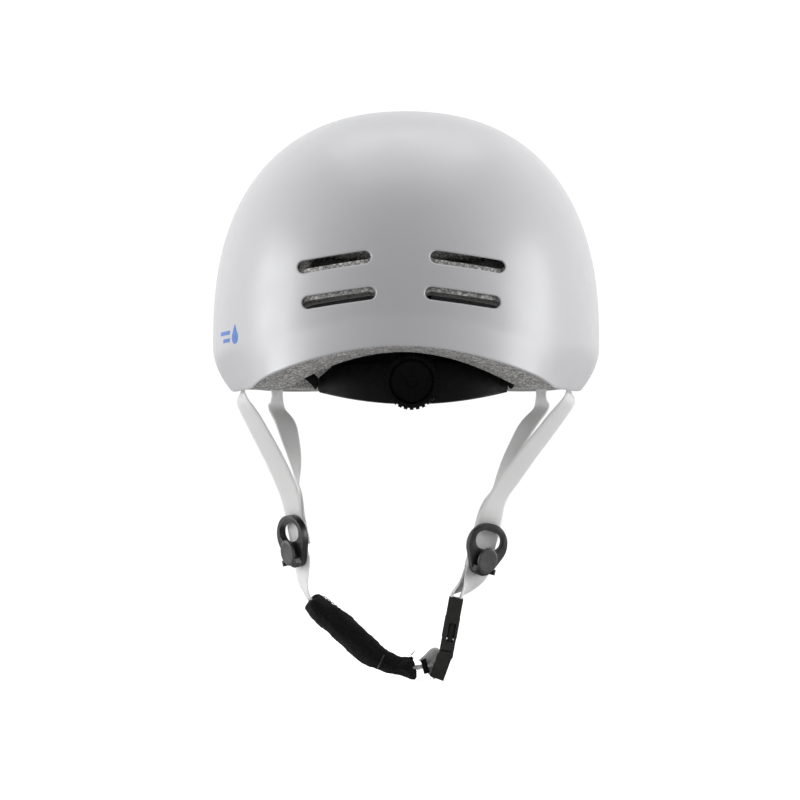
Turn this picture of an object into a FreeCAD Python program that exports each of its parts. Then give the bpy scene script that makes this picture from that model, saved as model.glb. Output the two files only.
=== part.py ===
import FreeCAD, Part
import math
import os
from FreeCAD import Vector

# Hard-shell helmet with foam liner, dial fit cradle and Y-strap harness. Millimetres.
# +Z up, +Y the way the wearer faces, +X the wearer's right.
# The origin is the centre of the head opening, level with the shell's side rims.

# Shell: a superellipsoid dome, widest at the waist
SHELL_HALF_WIDTH = 105.5
SHELL_FRONT = 134.0
SHELL_REAR = 136.0
WAIST_Z = 32.0
CROWN_RISE = 124.5
SKIRT_DROP = 150.0
PLAN_POWER = 2.1
PROFILE_POWER = 2.4
SHELL_WALL = 2.0
LINER_GAP = 0.15

# Rim: lowest behind the ears, raised at the nape, from the ears forwards and at the brow
RIM_LOW = 3.0
NAPE_RISE = 17.8
NAPE_SPREAD = math.radians(51)
EAR_RISE = 6.0
EAR_START = math.radians(65)
EAR_END = math.radians(120)
BROW_RISE = 4.0
BROW_SPREAD = math.radians(60)
LINER_RECESS = 0.3
REAR_LINER_DROP = 9.0
SIDE_LINER_DROP = -6.0
DROP_START = math.radians(40)
DROP_END = math.radians(70)

# Flared rear lip below a crease, and sides that tuck in towards the rim
LIP_HEIGHT = 16.5
LIP_SLOPE = 0.22
LIP_ROUNDING = 1.5
TUCK_HEIGHT = 24.0
TUCK_DEPTH = 9.5
TUCK_POWER = 1.9

# Head cavity in the liner
CAVITY_HALF_WIDTH = 82.0
CAVITY_FRONT = 108.0
CAVITY_REAR = 112.0
CAVITY_RISE = 94.0
CAVITY_DROP = 400.0

# Air slots: inner and outer end centres (x, z) of one side
SLOT_RADIUS = 3.2
UPPER_SLOT = ((18.0, 65.7), (49.0, 62.0))
LOWER_SLOT = ((15.5, 47.4), (46.5, 43.8))
CHANNEL_SHIFT = 3.2
CHANNEL_RADIUS = 4.2

# Fit cradle, curved about an upright axis
CRADLE_X = 5.0
CRADLE_Y = -38.0
CRADLE_PAD_IN = 53.2
CRADLE_IN = 56.5
CRADLE_MID = 59.0
CRADLE_OUT = 63.0
CHANNEL_OUT = 61.6
BAND_IN = 59.5
BAND_OUT = 61.1
BAND_END = math.radians(54)
DIAL_Z = 4.9
DIAL_RADIUS = 14.3
DIAL_TEETH = 28
PINION_TEETH = 10
PITCH_RADIUS = 4.5
TOOTH_HEIGHT = 0.8
TOOTH_ROOT = 1.0
RACK_BACK = 1.7

# Harness
WEBBING = 15.0
WEBBING_THICK = 1.6
# Each upper strap: place and turn of its pocket, how it leans as it leaves, its turns, how it arrives
REAR_ROUTE = ((88.0, -24.0, 83), (-3, 3, -9), (62, 47, 41, 37, 36, 40), (0, -3, 18))
FRONT_ROUTE = ((75.8, 62.0, 111), (-10, -18, -15), (122, 136, 128, 112, 95, 75), (0, 10, 20))
POCKET_TOP = 20.0
POCKET_MOUTH = 3.4
DIVIDER_THICK = 4.0
STRAP_DEPTH = DIVIDER_THICK / 2 + WEBBING_THICK / 2 + 0.3
LAYER_STEP = WEBBING_THICK + 0.7
LEVER_PIN_RADIUS = 0.9

# Chin strap and buckle, in the upright plane through both dividers
CHIN_PIVOT = Vector(-54.9, 0, -105.0)
BUCKLE_MOUTH = Vector(22.0, 0, -136.1)
BUCKLE_TOP = Vector(27.5, 0, -106.6)
BLOCK_END = Vector(16.5, 0, -151.2)
BUCKLE_WIDTH = 22.0
BUCKLE_DEPTH = 7.9
PRONG_THICK = 3.2
PRONG_SHIFT = 0.65
PRONG_PLAY_IN = 1.9
PRONG_PLAY_OUT = 0.3
STRAP_BREAK = 1.3

UP = Vector(0, 0, 1)
EDGE_ON = Vector(0.22, -0.98, 0)


# ---------- general helpers ----------

def save(name, *solids):
    shape = solids[0] if len(solids) == 1 else Part.makeCompound(list(solids))
    if len(shape.Solids) == 1:
        shape = shape.Solids[0]
    shape.exportStep("parts/" + name + ".step")
    size = shape.BoundBox
    print("%-22s solids %d valid %s volume %.0f box %.1f %.1f %.1f" % (
        name, len(shape.Solids), shape.isValid(), shape.Volume,
        size.XLength, size.YLength, size.ZLength))


def smooth_step(low, high, value):
    t = min(1.0, max(0.0, (value - low) / (high - low)))
    return t * t * (3 - 2 * t)


def box(x0, x1, y0, y1, z0, z1):
    return Part.makeBox(x1 - x0, y1 - y0, z1 - z0, Vector(x0, y0, z0))


def rod(start, end, radius):
    axis = end - start
    return Part.makeCylinder(radius, axis.Length, start, axis)


def prism(points, direction):
    """Solid swept from a closed polygon along a direction."""
    wire = Part.makePolygon(list(points) + [points[0]])
    return Part.Face(wire).extrude(direction)


def hull_of_circles(first, first_radius, second, second_radius, lift):
    """Flat outline in XZ around two circles joined by their outer tangents, swept by lift."""
    (x0, z0), (x1, z1) = first, second
    gap = math.hypot(x1 - x0, z1 - z0)
    heading = math.atan2(z1 - z0, x1 - x0)
    spread = math.acos((first_radius - second_radius) / gap)

    def on_circle(centre, radius, angle):
        return Vector(centre[0] + radius * math.cos(angle), 0, centre[1] + radius * math.sin(angle))

    a, b = heading + spread, heading - spread
    edges = [
        Part.LineSegment(on_circle(first, first_radius, b), on_circle(second, second_radius, b)),
        Part.Arc(on_circle(second, second_radius, b), on_circle(second, second_radius, heading),
                 on_circle(second, second_radius, a)),
        Part.LineSegment(on_circle(second, second_radius, a), on_circle(first, first_radius, a)),
        Part.Arc(on_circle(first, first_radius, a), on_circle(first, first_radius, heading + math.pi),
                 on_circle(first, first_radius, b)),
    ]
    wire = Part.Wire([edge.toShape() for edge in edges])
    return Part.Face(wire).extrude(lift)


def slot_cutter(ends, radius, y0, y1, side=1, shift=0.0):
    """Round-ended slot through everything between y0 and y1, on one side of the helmet."""
    (xa, za), (xb, zb) = ends
    first = (side * xa, za + shift)
    second = (side * xb, zb + shift)
    cutter = hull_of_circles(first, radius, second, radius, Vector(0, y1 - y0, 0))
    cutter.translate(Vector(0, y0, 0))
    return cutter


def placed(shape, origin, x_axis, y_axis, z_axis):
    """Shape drawn in its own axes, moved to an origin and turned onto three directions."""
    turn = FreeCAD.Rotation(x_axis, y_axis, z_axis, "ZXY")
    moved = shape.copy()
    moved.Placement = FreeCAD.Placement(origin, turn).multiply(moved.Placement)
    return moved


def ribbon(stations, width, thickness):
    """Webbing through stations, each a centre and the direction of the webbing's width."""
    wires = []
    for i, (centre, across) in enumerate(stations):
        before = stations[max(0, i - 1)][0]
        after = stations[min(len(stations) - 1, i + 1)][0]
        along = (after - before).normalize()
        across = (across - along * across.dot(along)).normalize()
        normal = along.cross(across)
        half_wide = across * (width / 2)
        half_thick = normal * (thickness / 2)
        corners = [centre - half_wide - half_thick, centre + half_wide - half_thick,
                   centre + half_wide + half_thick, centre - half_wide + half_thick]
        wires.append(Part.makePolygon(corners + [corners[0]]))
    return Part.makeLoft(wires, True, False)


def level_direction(angle_deg, side):
    """Level direction of a strap's width: 0 faces the rear, 90 faces sideways."""
    angle = math.radians(angle_deg)
    return Vector(math.cos(angle), side * math.sin(angle), 0)


# ---------- shell and liner surfaces ----------

def azimuth(x, y):
    """Angle around the helmet, from 0 at the rear to pi at the front."""
    length = SHELL_FRONT if y > 0 else SHELL_REAR
    return math.atan2(abs(x) / SHELL_HALF_WIDTH, -y / length)


def rim_height(angle):
    """Height of the shell's bottom edge."""
    height = RIM_LOW + EAR_RISE * smooth_step(EAR_START, EAR_END, angle)
    if angle < NAPE_SPREAD:
        height += NAPE_RISE * (0.5 + 0.5 * math.cos(math.pi * angle / NAPE_SPREAD)) ** 0.7
    from_front = math.pi - angle
    if from_front < BROW_SPREAD:
        height += BROW_RISE * (0.5 + 0.5 * math.cos(math.pi * from_front / BROW_SPREAD))
    return height


def dome_point(u, v, half_width, front, rear, rise, drop):
    """Point of a superellipsoid dome in the direction that u and v give, straight up at 0, 0."""
    scale = 1 + u * u + v * v
    x = 2 * u / scale
    y = 2 * v / scale
    z = (1 - u * u - v * v) / scale
    ring = (abs(x) ** PLAN_POWER + abs(y) ** PLAN_POWER) ** (1 / PLAN_POWER)
    reach = (ring ** PROFILE_POWER + abs(z) ** PROFILE_POWER) ** (-1 / PROFILE_POWER)
    length = front if y > 0 else rear
    height = rise if z > 0 else drop
    return Vector(half_width * reach * x, length * reach * y, WAIST_Z + height * reach * z)


def edge_offset(angle, above_rim):
    """How far the shell stands out (lip) or in (tuck) near its rim."""
    lip_share = 1 - smooth_step(math.radians(30), math.radians(58), angle)
    below_crease = (LIP_HEIGHT - above_rim) / LIP_ROUNDING
    soft = below_crease if below_crease > 30 else math.log(1 + math.exp(below_crease))
    lip = lip_share * LIP_SLOPE * LIP_ROUNDING * soft
    side_share = smooth_step(math.radians(38), math.radians(62), angle)
    side_share *= 1 - 0.5 * smooth_step(math.radians(130), math.radians(170), angle)
    near = min(1.25, max(0.0, 1 - above_rim / TUCK_HEIGHT))
    return lip - side_share * TUCK_DEPTH * near ** TUCK_POWER


def shell_point(u, v, inset):
    point = dome_point(u, v, SHELL_HALF_WIDTH - inset, SHELL_FRONT - inset, SHELL_REAR - inset,
                       CROWN_RISE - inset, SKIRT_DROP)
    if abs(point.x) + abs(point.y) < 1:
        return point
    length = SHELL_FRONT if point.y > 0 else SHELL_REAR
    outward = Vector(
        math.copysign((abs(point.x) / SHELL_HALF_WIDTH) ** (PLAN_POWER - 1) / SHELL_HALF_WIDTH, point.x),
        math.copysign((abs(point.y) / length) ** (PLAN_POWER - 1) / length, point.y), 0).normalize()
    angle = azimuth(point.x, point.y)
    return point + outward * edge_offset(angle, point.z - rim_height(angle))


def cavity_point(u, v, inset):
    return dome_point(u, v, CAVITY_HALF_WIDTH - inset, CAVITY_FRONT - inset, CAVITY_REAR - inset,
                      CAVITY_RISE - inset, CAVITY_DROP)


def patch(point, half_span, count):
    """One smooth face through a square grid of points."""
    steps = [half_span * (2 * i / (count - 1) - 1) for i in range(count)]
    surface = Part.BSplineSurface()
    surface.interpolate([[point(u, v) for v in steps] for u in steps])
    return surface.toShape()


def dome_solid(point, count):
    """Solid under a dome face, down to a flat floor below the rim."""
    block = box(-220, 220, -220, 220, -25, 220)
    pieces = block.generalFuse([patch(point, 1.6, count)])[0]
    middle = Vector(0, 0, 20)
    return [solid for solid in pieces.Solids if solid.isInside(middle, 0.01, False)][0]


def below_rim(lift, rear_drop, side_drop):
    """Everything under the rim, which rises by lift and falls by a drop towards the inside."""

    def point(x, y):
        angle = azimuth(x, y)
        length = SHELL_FRONT if y > 0 else SHELL_REAR
        across = (abs(x) / SHELL_HALF_WIDTH) ** PLAN_POWER
        along = (abs(y) / length) ** PLAN_POWER
        ring = (across + along) ** (1 / PLAN_POWER)
        share = smooth_step(0.25, 0.6, ring)
        drop = rear_drop + (side_drop - rear_drop) * smooth_step(DROP_START, DROP_END, angle)
        return Vector(x, y, share * (rim_height(angle) - drop * (1 - ring)) + lift)

    return patch(point, 165, 67).extrude(Vector(0, 0, -120))


def make_shell_and_liner():
    shell = dome_solid(lambda u, v: shell_point(u, v, 0), 81)
    shell = shell.cut(dome_solid(lambda u, v: shell_point(u, v, SHELL_WALL), 81))
    shell = shell.cut(below_rim(0, 0, 0))
    liner = dome_solid(lambda u, v: shell_point(u, v, SHELL_WALL + LINER_GAP), 81)
    liner = liner.cut(dome_solid(lambda u, v: cavity_point(u, v, 0), 41))
    liner = liner.cut(below_rim(LINER_RECESS, REAR_LINER_DROP, SIDE_LINER_DROP))
    for side in (-1, 1):
        for ends, shift in ((UPPER_SLOT, CHANNEL_SHIFT), (LOWER_SLOT, -CHANNEL_SHIFT)):
            for y0, y1 in ((-150, -70), (70, 150)):
                shell = shell.cut(slot_cutter(ends, SLOT_RADIUS, y0, y1, side))
                liner = liner.cut(slot_cutter(ends, CHANNEL_RADIUS, y0, y1, side, shift))
    for side in (-1, 1):
        for route in (REAR_ROUTE, FRONT_ROUTE):
            liner = liner.cut(strap_pocket(side, route[0]))
        liner = liner.cut(rod(arm_anchor_point(side), arm_anchor_point(side, 8), 3.5))
    for pin in hanger_pin_axes():
        liner = liner.cut(rod(pin, pin + Vector(0, -20, 0), 2.5))
    save("outer_shell", shell)
    save("eps_liner", liner)


def in_pocket(shape, side, place):
    """Shape drawn about a pocket's own axes, moved into that strap pocket."""
    x, y, turn = place
    across = level_direction(turn, side)
    return placed(shape, Vector(side * x, y, 0), across, UP.cross(across), UP)


def strap_pocket(side, place):
    """Pocket for a strap's end, with a mouth that leaves room for the strap to twist."""
    pocket = box(-9.2, 9.2, -2.8, 2.8, -12, POCKET_TOP)
    return in_pocket(pocket.fuse(box(-9.6, 9.6, -9, 5.2, -12, POCKET_MOUTH)), side, place)


def make_side_mark():
    """Flat film mark: a drop beside two bars, on the wearer's left side."""
    skin = dome_solid(lambda u, v: shell_point(u, v, -0.12), 81)
    skin = skin.cut(dome_solid(lambda u, v: shell_point(u, v, 0), 81))
    reach = Vector(40, 0, 0)
    start = Vector(-120, 0, 0)
    drop = Part.makeCylinder(3.4, 40, Vector(-120, -80, 29.4), Vector(1, 0, 0))
    tip = prism([start + Vector(0, -83.1, 30.8), start + Vector(0, -80, 36.4),
                 start + Vector(0, -76.9, 30.8)], reach)
    marks = [drop.fuse(tip)]
    for z0, length in ((31.4, 15.0), (27.4, 10.0)):
        marks.append(box(-120, -80, -73.5, -73.5 + length, z0, z0 + 2.0))
    save("side_mark", *[skin.common(mark).Solids[0] for mark in marks])


def make_pads():
    near = dome_solid(lambda u, v: cavity_point(u, v, 0.4), 41)
    far = dome_solid(lambda u, v: cavity_point(u, v, 7.4), 41)
    layer = near.cut(far)
    save("front_pad", layer.common(box(-56, 56, 62.5, 120, 22, 86)))
    cross = box(-19, 19, -60, 60, 80, 140).fuse(box(-48, 48, -17, 17, 80, 140))
    save("crown_pad", layer.common(cross.removeSplitter()))
    for name, x0, x1 in (("left", -90, -55), ("right", 55, 90)):
        save("side_pad_" + name, layer.common(box(x0, x1, -34, 40, 36, 62)))


# ---------- fit cradle ----------

def nape_point(radius, angle, z):
    return Vector(CRADLE_X + radius * math.sin(angle), CRADLE_Y - radius * math.cos(angle), z)


def arc_wall(inner, outer, start, end, z0, z1):
    """Upright wall that follows the nape between two angles."""
    middle = (start + end) / 2
    edges = [
        Part.Arc(nape_point(inner, start, z0), nape_point(inner, middle, z0), nape_point(inner, end, z0)),
        Part.LineSegment(nape_point(inner, end, z0), nape_point(outer, end, z0)),
        Part.Arc(nape_point(outer, end, z0), nape_point(outer, middle, z0), nape_point(outer, start, z0)),
        Part.LineSegment(nape_point(outer, start, z0), nape_point(inner, start, z0)),
    ]
    wire = Part.Wire([edge.toShape() for edge in edges])
    return Part.Face(wire).extrude(Vector(0, 0, z1 - z0))


def lens_prism(half_length, tip_z, low_z, shoulder, top_z):
    """Lens outline seen from behind, swept through the whole cradle."""
    y = CRADLE_Y - 90

    def at(x, z):
        return Vector(CRADLE_X + x, y, z)

    shoulder_x, shoulder_z = shoulder
    edges = [
        Part.Arc(at(-half_length, tip_z), at(0, low_z), at(half_length, tip_z)),
        Part.LineSegment(at(half_length, tip_z), at(half_length, tip_z + 7.5)),
        Part.LineSegment(at(half_length, tip_z + 7.5), at(shoulder_x, shoulder_z)),
        Part.Arc(at(shoulder_x, shoulder_z), at(0, top_z), at(-shoulder_x, shoulder_z)),
        Part.LineSegment(at(-shoulder_x, shoulder_z), at(-half_length, tip_z + 7.5)),
        Part.LineSegment(at(-half_length, tip_z + 7.5), at(-half_length, tip_z)),
    ]
    wire = Part.Wire([edge.toShape() for edge in edges])
    return Part.Face(wire).extrude(Vector(0, 90, 0))


def dial_point(radius):
    return Vector(CRADLE_X, CRADLE_Y - radius, DIAL_Z)


def make_cradle():
    reach = math.radians(60)
    frame = arc_wall(CRADLE_IN, CRADLE_MID, -reach, reach, -12, 26)
    frame = frame.common(lens_prism(49.0, 1.4, -6.2, (41.5, 14.5), 20.5))
    frame = frame.cut(rod(dial_point(50), dial_point(70), 1.66))
    save("cradle_frame", frame)

    cover = arc_wall(CRADLE_MID, CRADLE_OUT, -reach, reach, -12, 26)
    cover = cover.common(lens_prism(45.0, 0.6, -6.2, (40, 13.6), 15.2))
    channel = arc_wall(CRADLE_MID - 1, CHANNEL_OUT, -reach, reach, -12, 26)
    cover = cover.cut(channel.common(lens_prism(47.0, 1.7, -5.0, (39, 12.6), 14.0)))
    cover = cover.cut(rod(dial_point(50), dial_point(70), 2.65))
    save("cradle_cover", cover)

    wrap = math.radians(42)
    save("cradle_pad", arc_wall(CRADLE_PAD_IN, CRADLE_IN, -wrap, wrap, -3, 16))


def hanger_pin_axes():
    return [Vector(CRADLE_X + side * 5, -106.6, 50) for side in (-1, 1)]


def make_hanger():
    foot = math.radians(9.7)
    hanger = arc_wall(CRADLE_MID, CRADLE_MID + 2.4, -foot, foot, 15.6, 20.4)
    side_view = [(-97.2, 17.0), (-107.0, 44.0), (-107.0, 55.0), (-108.8, 55.0), (-108.8, 43.6),
                 (-99.3, 16.6)]
    plate = prism([Vector(CRADLE_X - 10, y, z) for y, z in side_view], Vector(20, 0, 0))
    plate = plate.cut(arc_wall(40, CRADLE_MID, -0.4, 0.4, 10, 30))
    hanger = hanger.fuse(plate)
    pins = []
    for pin in hanger_pin_axes():
        hanger = hanger.cut(rod(pin, pin + Vector(0, -5, 0), 2.5))
        head = rod(pin + Vector(0, 1.1, 0), pin + Vector(0, -0.4, 0), 4.0)
        pins.append(head.fuse(rod(pin, pin + Vector(0, -14, 0), 2.5)))
    save("cradle_hanger", hanger.removeSplitter())
    save("hanger_pins", *pins)


def rack_tooth(angle, top):
    """Tooth of a band that points down from the upper band or up from the lower one."""
    sign = 1 if top else -1
    root = PITCH_RADIUS + TOOTH_ROOT + 0.2
    tip = PITCH_RADIUS - TOOTH_HEIGHT
    outline = [(-0.85, root), (0.85, root), (0.34, tip), (-0.34, tip)]
    corners = [Vector(CRADLE_X + s, CRADLE_Y - BAND_OUT, DIAL_Z + sign * z) for s, z in outline]
    tooth = prism(corners, Vector(0, BAND_OUT - BAND_IN, 0))
    tooth.rotate(Vector(CRADLE_X, CRADLE_Y, 0), UP, math.degrees(angle))
    return tooth


def make_bands():
    tooth_pitch = 2 * math.pi * PITCH_RADIUS / PINION_TEETH
    tooth_angle = tooth_pitch / ((BAND_IN + BAND_OUT) / 2)
    rack_z = DIAL_Z + PITCH_RADIUS + TOOTH_ROOT
    narrow = math.radians(19.5)
    wide = math.radians(16)
    free_end = math.radians(13.5)
    band = arc_wall(BAND_IN, BAND_OUT, -wide, free_end, rack_z, rack_z + RACK_BACK)
    band = band.fuse(arc_wall(BAND_IN, BAND_OUT, -narrow, -wide, DIAL_Z - 2.7, rack_z + RACK_BACK))
    band = band.fuse(arc_wall(BAND_IN, BAND_OUT, -BAND_END, -narrow, DIAL_Z - 2.7, DIAL_Z + 2.7))
    for step in range(-4, 4):
        band = band.fuse(rack_tooth((step + 0.5) * tooth_angle, True))
    band = band.removeSplitter()
    save("band_left", band)
    other = band.copy()
    other.rotate(dial_point(0), Vector(0, 1, 0), 180)
    save("band_right", other)


def make_dial():
    gear_back = dial_point(BAND_IN)
    gear_face = dial_point(BAND_OUT)
    gear = rod(gear_back, gear_face, PITCH_RADIUS - TOOTH_ROOT)
    root = PITCH_RADIUS - TOOTH_ROOT - 0.2
    tip = PITCH_RADIUS + TOOTH_HEIGHT
    outline = [(-0.75, root), (0.75, root), (0.34, tip), (-0.34, tip)]
    for i in range(PINION_TEETH):
        corners = [gear_face + Vector(s, 0, z) for s, z in outline]
        tooth = prism(corners, gear_back - gear_face)
        tooth.rotate(gear_face, Vector(0, 1, 0), 360 * i / PINION_TEETH)
        gear = gear.fuse(tooth)
    knob_back = CRADLE_OUT + 0.5
    knob_front = knob_back + 7.2
    gear = gear.fuse(rod(dial_point(CRADLE_IN + 0.4), gear_back, 1.6))
    gear = gear.fuse(rod(gear_face, dial_point(knob_back + 2), 2.6))
    gear = gear.cut(rod(dial_point(CRADLE_IN + 2.4), dial_point(80), 1.0))
    save("dial_pinion", gear.removeSplitter())

    knob = rod(dial_point(knob_back), dial_point(knob_front), DIAL_RADIUS - 0.9)
    for i in range(DIAL_TEETH):
        rib = box(-0.9, 0.9, 0, knob_front - knob_back - 0.8, DIAL_RADIUS - 2.5, DIAL_RADIUS)
        rib.translate(Vector(CRADLE_X, CRADLE_Y - knob_front + 0.8, DIAL_Z))
        rib.rotate(dial_point(0), Vector(0, 1, 0), 360 * i / DIAL_TEETH)
        knob = knob.fuse(rib)
    dish = Part.makeCone(11.6, 10.2, 4.4, dial_point(knob_front), Vector(0, 1, 0))
    knob = knob.cut(dish)
    knob = knob.cut(rod(dial_point(knob_back - 1), dial_point(knob_back + 2), 2.6))
    knob = knob.cut(rod(dial_point(knob_back), dial_point(knob_front), 1.0))
    save("fit_dial", knob)

    screw = rod(dial_point(CRADLE_IN + 2.6), dial_point(knob_front - 4.4), 1.0)
    head = rod(dial_point(knob_front - 4.4), dial_point(knob_front - 2.8), 2.4)
    drive = [box(-1.6, 1.6, -0.5, 0.5, -0.3, 0.3), box(-0.3, 0.3, -0.5, 0.5, -1.6, 1.6)]
    for bar in drive:
        bar.translate(dial_point(knob_front - 2.8))
        head = head.cut(bar)
    save("dial_screw", screw.fuse(head))


def arm_anchor_point(side, depth=0.0):
    return Vector(side * (81.6 + depth), -8, 22)


def make_arms():
    anchors = []
    for name, side, rise in (("left", -1, 13.2), ("right", 1, 11.0)):
        tip = nape_point((BAND_IN + BAND_OUT) / 2, side * BAND_END, DIAL_Z)
        ahead = Vector(side * math.cos(BAND_END), math.sin(BAND_END), 0)
        stations = [
            (tip + ahead * 1.9, UP),
            (tip + ahead * 5 + UP * 2.6, UP + ahead * -0.3),
            (Vector(side * 55.5 + 1, -62, rise), UP + ahead * -0.4),
            (Vector(side * 66.5, -46, 18.0), UP + ahead * -0.2),
            (Vector(side * 74.5, -26, 21.2), UP),
            (Vector(side * 78.6, -8, 22.0), UP),
            (Vector(side * 79.2, 0, 22.0), UP),
        ]
        save("arm_" + name, ribbon(stations, 5.4, 1.2).cut(
            rod(arm_anchor_point(side, -8), arm_anchor_point(side), 2.0)))
        head = rod(arm_anchor_point(side, -5.8), arm_anchor_point(side, -4.7), 3.8)
        neck = rod(arm_anchor_point(side, -4.8), arm_anchor_point(side), 1.9)
        plug = rod(arm_anchor_point(side), arm_anchor_point(side, 7), 3.5)
        anchors.append(head.fuse(neck).fuse(plug))
    save("arm_anchors", *anchors)


# ---------- harness ----------

def make_strap_anchors():
    blocks = []
    for side in (-1, 1):
        for route in (REAR_ROUTE, FRONT_ROUTE):
            block = box(-8.9, 8.9, -2.6, 2.6, 12, POCKET_TOP)
            block = block.cut(box(-WEBBING / 2 - 0.4, WEBBING / 2 + 0.4, -WEBBING_THICK / 2 - 0.35,
                                  WEBBING_THICK / 2 + 0.35, 10, 17))
            blocks.append(in_pocket(block, side, route[0]))
    save("strap_anchors", *blocks)


class Divider:
    """Place of one divider: its centre and its own axes, up along the strap and out from the face."""

    def __init__(self, side, top, bottom, turn_deg):
        self.up = (top - bottom).normalize()
        self.centre = (top + bottom) / 2
        level = level_direction(turn_deg, side)
        self.across = (level - self.up * level.dot(self.up)).normalize()
        self.inward = self.up.cross(self.across)

    def at(self, x, y, z):
        return self.centre + self.across * x + self.inward * y + self.up * z

    def place(self, shape):
        return placed(shape, self.centre, self.across, self.inward, self.up)


DIVIDERS = {
    "left": Divider(-1, Vector(-64.7, 0, -62.8), Vector(-59.2, 0, -91.0), 50),
    "right": Divider(1, Vector(46.6, 0, -68.7), Vector(40.0, 0, -94.1), 28),
}


def make_dividers():
    pins = []
    half = DIVIDER_THICK / 2
    pin_z = -11.0
    pin_y = -half - 2.3
    for name, divider in DIVIDERS.items():
        body = hull_of_circles((0, 2.7), 11.8, (0, -6.9), 7.6, Vector(0, DIVIDER_THICK, 0))
        body.translate(Vector(0, -half, 0))
        window = hull_of_circles((-3.4, 5.0), 5.2, (3.4, 5.0), 5.2, Vector(0, 20, 0))
        window.translate(Vector(0, -10, 0))
        body = body.cut(window)
        for x in (-5.5, 5.5):
            ear = box(x - 0.7, x + 0.7, pin_y - 1.6, -half, pin_z - 1.6, pin_z + 1.6)
            body = body.fuse(ear)
        pin = rod(Vector(-6.2, pin_y, pin_z), Vector(6.2, pin_y, pin_z), LEVER_PIN_RADIUS)
        body = body.cut(pin)
        save("divider_" + name, divider.place(body))
        pins.append(divider.place(pin))

        front = hull_of_circles((0, -10.0), 3.4, (0, -4.6), 6.0, Vector(0, 20, 0))
        front.translate(Vector(0, pin_y - 10, 0))
        side_view = [(pin_y - 1.9, pin_z), (pin_y - 1.2, 1.4), (-half - 0.4, 1.4), (pin_y + 1.9, pin_z)]
        bar = prism([Vector(-8, y, z) for y, z in side_view], Vector(16, 0, 0))
        bar = bar.fuse(rod(Vector(-8, pin_y, pin_z), Vector(8, pin_y, pin_z), 1.9))
        lever = bar.common(front)
        lever = lever.cut(rod(Vector(-8, pin_y, pin_z), Vector(8, pin_y, pin_z), LEVER_PIN_RADIUS + 0.07))
        save("divider_lever_" + name, divider.place(lever))
    save("lever_pins", *pins)


def upper_strap(side, divider, route, depth):
    """Strap from its pocket down to a divider, passing behind the divider's plate at a depth."""
    (x, y, pocket_turn), lean, turns, ease = route
    start = Vector(side * x, y, 0)
    entry = divider.at(0, depth, 14)
    leave = start + Vector(side * lean[0], lean[1], lean[2])
    arrive = entry + Vector(*ease)
    stations = [(start + UP * z, level_direction(pocket_turn, side)) for z in (16.8, 14, 11, 8, 5)]
    for i, turn in enumerate(turns):
        t = i / len(turns)
        point = (start * (1 - t) ** 3 + leave * (3 * t * (1 - t) ** 2)
                 + arrive * (3 * t * t * (1 - t)) + entry * t ** 3)
        stations.append((point, level_direction(turn, side)))
    for z in (14, 8, 2, -3):
        stations.append((divider.at(0, depth, z), divider.across))
    return ribbon(stations, WEBBING, WEBBING_THICK)


def make_upper_straps():
    for name, side in (("left", -1), ("right", 1)):
        divider = DIVIDERS[name]
        save("rear_strap_" + name, upper_strap(side, divider, REAR_ROUTE, STRAP_DEPTH))
        save("front_strap_" + name,
             upper_strap(side, divider, FRONT_ROUTE, STRAP_DEPTH + LAYER_STEP))


def make_lower_straps():
    left = DIVIDERS["left"]
    along = (CHIN_PIVOT - left.at(0, 0, -14)).normalize()
    stations = [(left.at(0, STRAP_DEPTH, z), left.across) for z in (-3.8, -8, -12)]
    stations += [(CHIN_PIVOT - along * 4.5, EDGE_ON * 0.7 + left.across * 0.3),
                 (CHIN_PIVOT - along * STRAP_BREAK, EDGE_ON)]
    save("lower_strap_left", ribbon(stations, WEBBING, WEBBING_THICK))

    right = DIVIDERS["right"]
    across = Vector(0, 1, 0)
    legs = []
    for shift, depth in ((2.5, STRAP_DEPTH), (-2.5, STRAP_DEPTH + LAYER_STEP)):
        stations = [(right.at(0, depth, z), right.across) for z in (-3.8, -7, -10, -13)]
        middle = (right.at(0, depth + 1.2, -15) + buckle_point(shift, 0, 31)) * 0.5
        stations += [(middle, right.across * 0.5 + across * 0.5), (buckle_point(shift, 0, 31), across),
                     (buckle_point(shift, 0, 28.5), across), (buckle_point(shift, 0, 26), across)]
        legs.append(ribbon(stations, WEBBING, WEBBING_THICK))
    save("lower_strap_right", *legs)


# ---------- chin strap and buckle ----------

def buckle_axis(which):
    """Own axes of the buckle: 0 through its thickness, 1 across its width, 2 up to its top bar."""
    up = (BUCKLE_TOP - BUCKLE_MOUTH).normalize()
    return (Vector(0, 1, 0).cross(up), Vector(0, 1, 0), up)[which]


def buckle_point(x, y, z):
    return BUCKLE_MOUTH + buckle_axis(0) * x + buckle_axis(1) * y + buckle_axis(2) * z


def in_buckle(shape):
    return placed(shape, BUCKLE_MOUTH, buckle_axis(0), buckle_axis(1), buckle_axis(2))


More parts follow.
